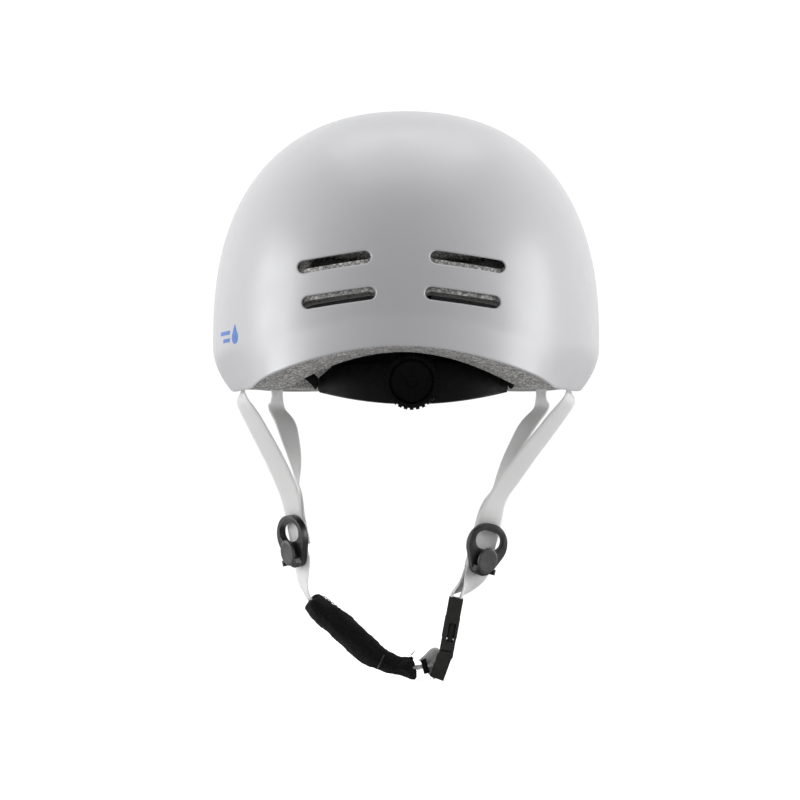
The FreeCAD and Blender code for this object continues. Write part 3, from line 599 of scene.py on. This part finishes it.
class Divider:
    """Place of one divider: its centre and its own axes, as in the CAD model."""

    def __init__(self, side, top, bottom, turn):
        top, bottom = np.array(top, float), np.array(bottom, float)
        self.up = unit(top - bottom)
        self.centre = (top + bottom) / 2
        level = level_direction(turn, side)
        self.across = unit(level - self.up * level.dot(self.up))
        self.inward = np.cross(self.up, self.across)

    def at(self, x, y, z):
        return self.centre + self.across * x + self.inward * y + self.up * z

    def turn(self, points):
        points = np.asarray(points, float)
        return (self.centre + points[:, :1] * self.across + points[:, 1:2] * self.inward
                + points[:, 2:3] * self.up)


DIVIDERS = {"left": Divider(-1, (-64.7, 0, -62.8), (-59.2, 0, -91.0), 50),
            "right": Divider(1, (46.6, 0, -68.7), (40.0, 0, -94.1), 28)}


def webbing_mesh(stations, width=WEBBING, thick=WEBBING_THICK, rib=0.085):
    """Woven tape through stations of (place, direction of its width)."""
    table = np.array([np.concatenate([place, unit(across)]) for place, across in stations])
    line, run = spline(table, RIB_PITCH / 5)
    centre = line[:, :3]
    along = unit(np.gradient(centre, axis=0))
    across = line[:, 3:]
    across = unit(across - along * np.sum(along * across, 1, keepdims=True))
    normal = np.cross(along, across)
    flat = 13
    section = []
    for k in range(flat):
        section.append((-0.5 + k / (flat - 1), 1))
    for k in range(flat - 1, -1, -1):
        section.append((-0.5 + k / (flat - 1), -1))
    rings, uv = [], []
    for u, face in section:
        share = abs(u) * 2
        half = thick / 2 * (1 - 0.62 * max(0, (share - 0.9) / 0.1) ** 2)
        half -= 0.10 * max(0, 1 - abs(share - 0.82) / 0.08)
        weave = rib * np.cos(2 * np.pi * (run / RIB_PITCH + 0.5 * (round(abs(u) * 12) % 2)))
        edge = 0.10 * np.cos(2 * np.pi * run / RIB_PITCH) * (share > 0.97)
        place = (centre + across * ((u * (width - 0.3)) + np.sign(u) * edge)[:, None]
                 + normal * (face * (half - rib + weave * (share < 0.95)))[:, None])
        rings.append(place)
        uv.append(np.column_stack([np.full(len(run), u * width), run]))
    size = len(section)
    points = np.stack(rings, 1).reshape(-1, 3)
    coords = np.stack(uv, 1).reshape(-1, 2)
    faces = rings_to_faces(len(run), size)
    last = (len(run) - 1) * size
    half = size // 2
    for first, turn in ((0, False), (last, True)):
        for k in range(half - 1):
            face = (first + k, first + k + 1, first + size - 2 - k, first + size - 1 - k)
            faces.append(face if turn else face[::-1])
    return points, faces, coords, run[-1]


def webbing_piece(name, stations, body, stands_for, look="webbing", **sizes):
    points, faces, coords, length = webbing_mesh(stations, **sizes)
    piece = new_piece(name, points, faces, look, body, stands_for)
    layer = piece.data.uv_layers.new(name="weave")
    loops = np.empty(len(piece.data.loops), int)
    piece.data.loops.foreach_get("vertex_index", loops)
    layer.data.foreach_set("uv", coords[loops].ravel())
    print("webbing %s %.0f mm" % (name, length))
    return piece


def upper_strap(side, divider, route, depth):
    (x, y, pocket_turn), lean, turns, ease = route
    start = np.array([side * x, y, 0.0])
    entry = divider.at(0, depth, 14)
    leave = start + np.array([side * lean[0], lean[1], lean[2]])
    arrive = entry + np.array(ease)
    stations = [(start + UP * z, level_direction(pocket_turn, side)) for z in (16.8, 14, 11, 8, 5)]
    for i, turn in enumerate(turns):
        t = i / len(turns)
        point = (start * (1 - t) ** 3 + leave * (3 * t * (1 - t) ** 2)
                 + arrive * (3 * t * t * (1 - t)) + entry * t ** 3)
        stations.append((point, level_direction(turn, side)))
    for z in (14, 8, 2, -3):
        stations.append((divider.at(0, depth, z), divider.across))
    return stations


def buckle_frame():
    up = unit(BUCKLE_TOP - BUCKLE_MOUTH)
    return np.cross(BACK_TO_FRONT, up), BACK_TO_FRONT, up


def buckle_point(x, y, z):
    out, across, up = buckle_frame()
    return BUCKLE_MOUTH + out * x + across * y + up * z


def chin_line():
    along = unit(CHIN_PIVOT - DIVIDERS["left"].at(0, 0, -14))
    return [CHIN_PIVOT + along * 1.3, np.array([-53.0, 0, -108.6]), np.array([-40.0, 0, -120.0]),
            np.array([-26.0, 0, -132.4]), np.array([-14.0, 0, -141.6]), np.array([-2.0, 0, -145.0]),
            np.array([7.6, 0, -145.4]), np.array([14.6, 0, -143.6])]


def make_straps():
    for name, side in (("left", -1), ("right", 1)):
        divider = DIVIDERS[name]
        webbing_piece("rear_webbing_" + name, upper_strap(side, divider, REAR_ROUTE, STRAP_DEPTH), "root",
                      ["rear_strap_" + name])
        webbing_piece("front_webbing_" + name,
                      upper_strap(side, divider, FRONT_ROUTE, STRAP_DEPTH + LAYER_STEP), "root",
                      ["front_strap_" + name])
    left = DIVIDERS["left"]
    along = unit(CHIN_PIVOT - left.at(0, 0, -14))
    stations = [(left.at(0, STRAP_DEPTH, z), left.across) for z in (-3.8, -8, -12)]
    stations += [(CHIN_PIVOT - along * 4.5, EDGE_ON * 0.7 + left.across * 0.3), (CHIN_PIVOT, EDGE_ON)]
    stations += [(point, EDGE_ON) for point in chin_line()[1:]]
    piece = webbing_piece("chin_webbing", stations, None, ["lower_strap_left", "chin_strap"])
    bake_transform(piece)
    webbing_piece("chin_webbing_turn", [(np.array(place), TURN_ACROSS) for place in LOCK_TURN], "chin", ())

    right = DIVIDERS["right"]
    for label, shift, depth in (("rear", 2.5, STRAP_DEPTH), ("front", -2.5, STRAP_DEPTH + LAYER_STEP)):
        stations = [(right.at(0, depth, z), right.across) for z in (-3.8, -7, -10, -13)]
        middle = (right.at(0, depth + 1.2, -15) + buckle_point(shift, 0, 31)) * 0.5
        stations += [(middle, right.across * 0.5 + BACK_TO_FRONT * 0.5)]
        stations += [(buckle_point(shift, 0, z), BACK_TO_FRONT) for z in (31, 28.5, 26)]
        webbing_piece("lower_webbing_" + label, stations, "root", ["lower_strap_right"])


# ---------- refined CAD pieces ----------

def refined(name, node, look, body, bevel=0.4, segments=3, sharp=30, flat=1.5):
    """New piece from a CAD node's own shape, welded and with rounded moulded edges."""
    bm = bmesh.new()
    bm.from_mesh(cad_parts[node].data)
    bmesh.ops.remove_doubles(bm, verts=bm.verts, dist=0.002 * MM)
    bmesh.ops.dissolve_degenerate(bm, edges=bm.edges, dist=0.002 * MM)
    bmesh.ops.dissolve_limit(bm, angle_limit=math.radians(flat), verts=bm.verts, edges=bm.edges)
    mesh = bpy.data.meshes.new(name)
    bm.to_mesh(mesh)
    bm.free()
    obj = bpy.data.objects.new(name, mesh)
    bpy.context.scene.collection.objects.link(obj)
    edge = obj.modifiers.new("edges", "BEVEL")
    edge.width = bevel * MM
    edge.segments = segments
    edge.limit_method = "ANGLE"
    edge.angle_limit = math.radians(sharp)
    edge.use_clamp_overlap = True
    baked = bpy.data.meshes.new_from_object(obj.evaluated_get(bpy.context.evaluated_depsgraph_get()))
    obj.modifiers.clear()
    obj.data = baked
    baked.polygons.foreach_set("use_smooth", [True] * len(baked.polygons))
    baked.set_sharp_from_angle(angle=math.radians(38))
    return adopt(obj, look, body, [node])


# ---------- pads ----------

CHIN_HALF_HEIGHTS = (6.4, 7.2, 7.2, 6.4, 5.0, 8.8)
CHIN_CUT_LENGTH, CHIN_CUT_SLANT = 9.0, 0.28
CHIN_HALF_WIDTH = 12.0
CHIN_SEAM = np.array([-14.0, 0, -141.6])
STITCH_FROM, STITCH_TURN = -1.95, 0.42
PAD_PRESSURE = {"chin_pad": 35, "front_pad": 2.5, "crown_pad": 3, "side_pad_left": 5, "side_pad_right": 5,
                "cradle_pad": 7}
CLOTH_FRAMES = 20


def bake(obj):
    mesh = bpy.data.meshes.new_from_object(obj.evaluated_get(bpy.context.evaluated_depsgraph_get()))
    obj.modifiers.clear()
    obj.data = mesh


def places(mesh):
    flat = np.empty(len(mesh.vertices) * 3)
    mesh.vertices.foreach_get("co", flat)
    return flat.reshape(-1, 3)


def move_to(mesh, points):
    mesh.vertices.foreach_set("co", np.asarray(points, float).ravel())
    mesh.update()


def vertex_normals(mesh):
    flat = np.empty(len(mesh.vertices) * 3)
    mesh.vertices.foreach_get("normal", flat)
    return flat.reshape(-1, 3)


def stuff(obj, node, voxel, shrink, cap):
    """Closed form drawn in a little, then swollen by cloth pressure with no point moving past the cap."""
    remesh = obj.modifiers.new("remesh", "REMESH")
    remesh.mode = "VOXEL"
    remesh.voxel_size = voxel * MM
    bake(obj)
    start = places(obj.data) - vertex_normals(obj.data) * shrink * MM
    move_to(obj.data, start)
    cloth = obj.modifiers.new("cloth", "CLOTH")
    cloth.settings.use_pressure = True
    cloth.settings.uniform_pressure_force = PAD_PRESSURE[node]
    cloth.settings.effector_weights.gravity = 0
    cloth.point_cache.frame_start = 1
    cloth.point_cache.frame_end = CLOTH_FRAMES
    for frame_number in range(1, CLOTH_FRAMES + 1):
        bpy.context.scene.frame_set(frame_number)
    bake(obj)
    bpy.context.scene.frame_set(1)
    shift = places(obj.data) - start
    size = np.linalg.norm(shift, axis=1, keepdims=True)
    shift *= np.minimum(1, cap * MM / np.maximum(size, 1e-9))
    move_to(obj.data, start + shift)
    moved = np.linalg.norm(shift, axis=1) / MM
    print("cloth %s moved: median %.2f mm, largest %.2f mm, %.0f%% of points at the cap" % (
        node, np.median(moved), moved.max(), 100 * np.mean(moved > cap - 0.001)))
    smooth = obj.modifiers.new("smooth", "SUBSURF")
    smooth.levels = smooth.render_levels = 1
    bake(obj)


def roughen(mesh, sizes):
    """Small bumps along the surface, as (height, spacing) in millimetres."""
    points = places(mesh)
    lift = np.zeros(len(points))
    for height, spacing in sizes:
        lift += height * MM * np.array([noise.noise(Vector(p / (spacing * MM))) for p in points])
    move_to(mesh, points + vertex_normals(mesh) * lift[:, None])


def make_inner_pads():
    for node, voxel, shrink, cap in (("front_pad", 3.5, 0.8, 1.0), ("crown_pad", 3.5, 0.8, 1.0),
                                     ("side_pad_left", 3.0, 0.8, 1.0), ("side_pad_right", 3.0, 0.8, 1.0),
                                     ("cradle_pad", 1.6, 0.3, 0.4)):
        pad = bpy.data.objects.new(node + "_cloth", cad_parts[node].data.copy())
        bpy.context.scene.collection.objects.link(pad)
        stuff(pad, node, voxel, shrink, cap)
        pad.data.polygons.foreach_set("use_smooth", [True] * len(pad.data.polygons))
        adopt(pad, "pad", "root", [node])


def chin_sleeve():
    """Centre line of the chin pad with its half height, its directions and the run along it."""
    path, run = spline(np.column_stack([np.array(chin_line()[1:7]), CHIN_HALF_HEIGHTS]), 1.2)
    along = unit(np.gradient(path[:, :3], axis=0))
    return path[:, :3], path[:, 3], along, unit(np.cross(BACK_TO_FRONT, along)), run


def sleeve_point(sleeve, i, angle, grow=1.0):
    centre, half, along, normal, run = sleeve
    across = half[i] * grow * math.sin(angle)
    near_cut = max(0, 1 - (run[-1] - run[i]) / CHIN_CUT_LENGTH)
    return (centre[i] + BACK_TO_FRONT * CHIN_HALF_WIDTH * grow * math.cos(angle) + normal[i] * across
            + along[i] * CHIN_CUT_SLANT * near_cut * (across - half[i]))


def make_chin_pad():
    sleeve = chin_sleeve()
    centre, _, _, _, run = sleeve
    seam = run[np.argmin(np.linalg.norm(centre - CHIN_SEAM, axis=1))]
    sides = 44
    points = []
    for i, place in enumerate(run):
        to_end = min(place, run[-1] - place)
        round_off = 0.72 + 0.28 * math.sqrt(1 - (1 - min(to_end / 4.0, 1)) ** 2)
        pinch = 1 - 0.22 * math.exp(-((place - seam) / 2.0) ** 2)
        points += [sleeve_point(sleeve, i, 2 * math.pi * k / sides, 0.93 * round_off * pinch)
                   for k in range(sides)]
    faces = rings_to_faces(len(run), sides)
    faces.append(list(range(sides))[::-1])
    faces.append([(len(run) - 1) * sides + k for k in range(sides)])
    pad = new_piece("chin_pad_fleece", points, faces, "fleece", None)
    stuff(pad, "chin_pad", 2.4, 0.3, 1.1)
    fine = pad.modifiers.new("fine", "SUBSURF")
    fine.levels = fine.render_levels = 1
    bake(pad)
    roughen(pad.data, ((0.9, 9.0), (0.4, 3.0), (0.16, 0.9)))
    pad.data.polygons.foreach_set("use_smooth", [True] * len(pad.data.polygons))
    adopt(pad, "fleece", "chin", ["chin_pad"])
    make_chin_threads(sleeve, seam)


def tubes(name, curves, radius, look, body):
    points, faces = [], []
    sides = 6
    for curve in curves:
        curve = np.asarray(curve, float)
        along = unit(np.gradient(curve, axis=0))
        first = len(points)
        for place, ahead in zip(curve, along):
            across = unit(np.cross(ahead, [0.31, 0.17, 0.93]))
            other = np.cross(ahead, across)
            for k in range(sides):
                a = 2 * math.pi * k / sides
                points.append(place + radius * (across * math.cos(a) + other * math.sin(a)))
        faces += rings_to_faces(len(curve), sides, first)
        last = first + (len(curve) - 1) * sides
        faces.append([first + k for k in range(sides)][::-1])
        faces.append([last + k for k in range(sides)])
    return new_piece(name, points, faces, look, body)


def make_chin_threads(sleeve, seam):
    """Overlock stitches under the first length, a seam line at the fold and loose ends at the cut."""
    _, _, along, normal, run = sleeve
    stitches = []
    for i in range(4, int(len(run) * 0.5), 2):
        stitches.append([sleeve_point(sleeve, i + step_no, STITCH_FROM + STITCH_TURN * step_no,
                                      1.0 + 0.02 * math.sin(step_no * 3.1)) for step_no in (0, 1, 2)])
    tubes("chin_pad_overlock", stitches, 0.22, "thread", "chin")
    at = int(np.argmin(np.abs(run - seam)))
    ring = [sleeve_point(sleeve, at, math.pi + 2.6 * (k / 20 - 0.5), 0.80) for k in range(21)]
    tubes("chin_pad_seam", [ring], 0.30, "thread", "chin")
    chance = random.Random(7)
    hairs = []
    for _ in range(34):
        i = len(run) - 1 - chance.randrange(0, 4)
        angle = chance.uniform(0, 2 * math.pi)
        root = sleeve_point(sleeve, i, angle, 0.9)
        out = unit(along[i] * chance.uniform(0.4, 1.2) + normal[i] * math.sin(angle) * 0.8
                   + BACK_TO_FRONT * math.cos(angle) * 0.6)
        bend = np.array([chance.uniform(-0.5, 0.5) for _ in range(3)])
        reach = chance.uniform(1.2, 3.0)
        hairs.append([root + out * reach * t + bend * reach * t * t for t in (0, 0.35, 0.7, 1)])
    tubes("chin_pad_loose_threads", hairs, 0.09, "fleece", "chin")


# ---------- side arms ----------


def make_arms():
    for name, side in (("left", -1), ("right", 1)):
        arm = refined("arm_%s_moulded" % name, "arm_" + name, "fittings", None, 0.3)
        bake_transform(arm)


# ---------- divider levers and buckle ----------

LEVER_EDGE_STEPS = 7
WEB_HALF_OUT, WEB_LOW, WEB_HIGH, WEB_THICK = 4.2, 6.5, 18.5, 1.0


def node_points(node):
    """A CAD node's own points, in millimetres."""
    return places(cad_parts[node].data) / MM


def make_lever(name):
    """Oval finger plate with a soft edge and a shallow dish, filling the CAD lever's own space."""
    divider = DIVIDERS[name]
    local = node_points("divider_lever_" + name) - divider.centre
    x, y, z = local @ divider.across, local @ divider.inward, local @ divider.up
    plate = y < np.median(y)
    half_x = (x[plate].max() - x[plate].min()) / 2
    half_z = (z[plate].max() - z[plate].min()) / 2
    mid_x, mid_z = (x[plate].max() + x[plate].min()) / 2, (z[plate].max() + z[plate].min()) / 2
    outer, inner = y.min(), np.median(y)
    middle, half_thick = (outer + inner) / 2, abs(inner - outer) / 2
    sides = 64
    profile = [(0.0, -0.72), (0.45, -0.78), (0.72, -0.95)]
    for k in range(LEVER_EDGE_STEPS + 1):
        a = math.pi * k / LEVER_EDGE_STEPS
        profile.append((0.86 + 0.14 * math.sin(a), -math.cos(a)))
    profile.append((0.0, 1.0))
    points = []
    for share, depth in profile:
        for k in range(sides):
            a = 2 * math.pi * k / sides
            points.append(divider.at(mid_x + half_x * max(share, 0.002) * math.cos(a),
                                     middle + half_thick * depth,
                                     mid_z + half_z * max(share, 0.002) * math.sin(a)))
    faces = rings_to_faces(len(profile), sides)
    faces.append(list(range(sides))[::-1])
    faces.append([(len(profile) - 1) * sides + k for k in range(sides)])
    new_piece("divider_lever_%s_plate" % name, points, faces, "lever", "lever_" + name,
              ["divider_lever_" + name])


def make_buckle_web():
    """Guide rib in the middle of the buckle's socket, between the two latches."""
    corners = [(-WEB_HALF_OUT, WEB_LOW), (WEB_HALF_OUT, WEB_LOW), (WEB_HALF_OUT, WEB_HIGH),
               (-WEB_HALF_OUT, WEB_HIGH)]
    points = [buckle_point(x, y, z) for y in (-WEB_THICK / 2, WEB_THICK / 2) for x, z in corners]
    faces = [(0, 1, 2, 3), (7, 6, 5, 4)] + [(k, k + 4, (k + 1) % 4 + 4, (k + 1) % 4) for k in range(4)]
    web = new_piece("buckle_guide_web", points, faces, "fittings", None)
    edge = web.modifiers.new("edges", "BEVEL")
    edge.width = 0.42 * MM
    edge.segments = 4
    edge.limit_method = "NONE"
    bake(web)
    adopt(web, "fittings", "root")


# ---------- camera, light, stage ----------

FLOOR_SIZE, FLOOR_Z = 9.0, -0.159


def make_stage():
    floor = bpy.data.meshes.new("stage_floor")
    size, z = FLOOR_SIZE, FLOOR_Z
    corners = [(-size, -size, z), (size, -size, z), (size, size, z), (-size, size, z)]
    floor.from_pydata(corners, [], [(0, 1, 2, 3)])
    obj = bpy.data.objects.new("stage_floor", floor)
    bpy.context.scene.collection.objects.link(obj)
    s = Shade("stage_pale", (0.55, 0.55, 0.55), 0.9, Specular_IOR_Level=0.1)
    s.bsdf.inputs["Emission Color"].default_value = (1, 1, 1, 1)
    seen = s.node("LightPath").outputs["Is Camera Ray"]
    s.tree.links.new(s.span(seen, 0, 1, 0.0, 0.72), s.bsdf.inputs["Emission Strength"])
    floor.materials.append(s.material)

    world = bpy.data.worlds.new("studio")
    bpy.context.scene.world = world
    world.use_nodes = True
    nodes, links = world.node_tree.nodes, world.node_tree.links
    coords = nodes.new("ShaderNodeTexCoord")
    split = nodes.new("ShaderNodeSeparateXYZ")
    links.new(coords.outputs["Generated"], split.inputs[0])
    fade = nodes.new("ShaderNodeMapRange")
    fade.interpolation_type = "SMOOTHSTEP"
    for key, value in (("From Min", -0.55), ("From Max", 0.75), ("To Min", 0.52), ("To Max", 1.08)):
        fade.inputs[key].default_value = value
    links.new(split.outputs["Y"], fade.inputs["Value"])
    seen_white = nodes.new("ShaderNodeMapRange")
    seen_white.inputs["To Max"].default_value = 1.05
    links.new(nodes.new("ShaderNodeLightPath").outputs["Is Camera Ray"], seen_white.inputs["Value"])
    links.new(fade.outputs["Result"], seen_white.inputs["To Min"])
    links.new(seen_white.outputs["Result"], nodes["Background"].inputs["Strength"])
    nodes["Background"].inputs["Color"].default_value = (1, 1, 1, 1)


def softbox(name, place, target, size, power):
    light = bpy.data.lights.new(name, "AREA")
    light.shape = "RECTANGLE"
    light.size, light.size_y = size
    light.energy = power
    obj = bpy.data.objects.new(name, light)
    obj.location = place
    obj.rotation_euler = (Vector(target) - Vector(place)).to_track_quat("-Z", "Y").to_euler()
    bpy.context.scene.collection.objects.link(obj)


CAMERA_PLACE = np.array([31.6, -1391.9, -65.3])
CAMERA_AIM = np.array([0.0, 0.0, 81.0])
CAMERA_HEADING = math.radians(0.147)
CAMERA_PITCH = math.radians(3.292)


def make_light_and_camera():
    softbox("top_soft", (0, 0.1, 1.5), (0, 0, 0.05), (1.4, 1.4), 13)
    softbox("left_soft", (-1.4, -0.12, 0.05), (0, 0, -0.03), (0.8, 1.2), 20)
    softbox("right_soft", (1.4, -0.12, 0.05), (0, 0, -0.03), (0.8, 1.2), 19)
    softbox("low_fill", (0, -1.4, -0.55), (0, 0, -0.06), (1.2, 0.8), 11)
    data = bpy.data.cameras.new("camera")
    data.lens = 114.21
    data.sensor_width = 36
    data.clip_start, data.clip_end = 0.05, 50
    camera = bpy.data.objects.new("camera", data)
    bpy.context.scene.collection.objects.link(camera)
    ahead = CAMERA_AIM - CAMERA_PLACE
    heading = math.atan2(ahead[0], ahead[1]) - CAMERA_HEADING
    pitch = math.atan2(ahead[2], math.hypot(ahead[0], ahead[1])) - CAMERA_PITCH
    camera.location = CAMERA_PLACE * MM
    camera.rotation_euler = (math.pi / 2 + pitch, 0, -heading)
    bpy.context.scene.camera = camera
    bpy.context.scene.view_settings.view_transform = "Standard"


make_stage()
make_light_and_camera()
make_shell()
make_straps()
make_inner_pads()
make_chin_pad()
make_arms()
make_lever("left")
make_lever("right")
make_buckle_web()
for node, look in (("eps_liner", "liner"), ("side_mark", "mark"), ("cradle_hanger", "fittings"),
                   ("hanger_pins", "fittings"), ("strap_anchors", "fittings"), ("arm_anchors", "fittings"),
                   ("lever_pins", "divider"), ("dial_screw", "dial"), ("dial_pinion", "fittings")):
    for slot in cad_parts[node].material_slots:
        slot.material = LOOKS[look]
for name, look, body, slot, bevel in (
        ("fit_dial", "dial", "dial", "fittings", 0.35),
        ("cradle_cover", "fittings", "root", "fittings", 0.5),
        ("cradle_frame", "fittings", "root", "fittings", 0.6),
        ("band_left", "fittings", "band_left", "fittings", 0.15),
        ("band_right", "fittings", "band_right", "fittings", 0.15),
        ("divider_left", "divider", "root", "fittings", 0.9),
        ("divider_right", "divider", "root", "fittings", 0.9),
        ("buckle_female", "lock", "root", "fittings", 0.6), ("buckle_male", "lock", "chin", "fittings", 0.6),
        ("buckle_latch_front", "lock", "latch_front", "fittings", 0.3),
        ("buckle_latch_rear", "lock", "latch_rear", "fittings", 0.3),
        ("strap_keeper", "fittings", "chin", "fittings", 0.4)):
    refined(name + "_moulded", name, look, body, bevel)
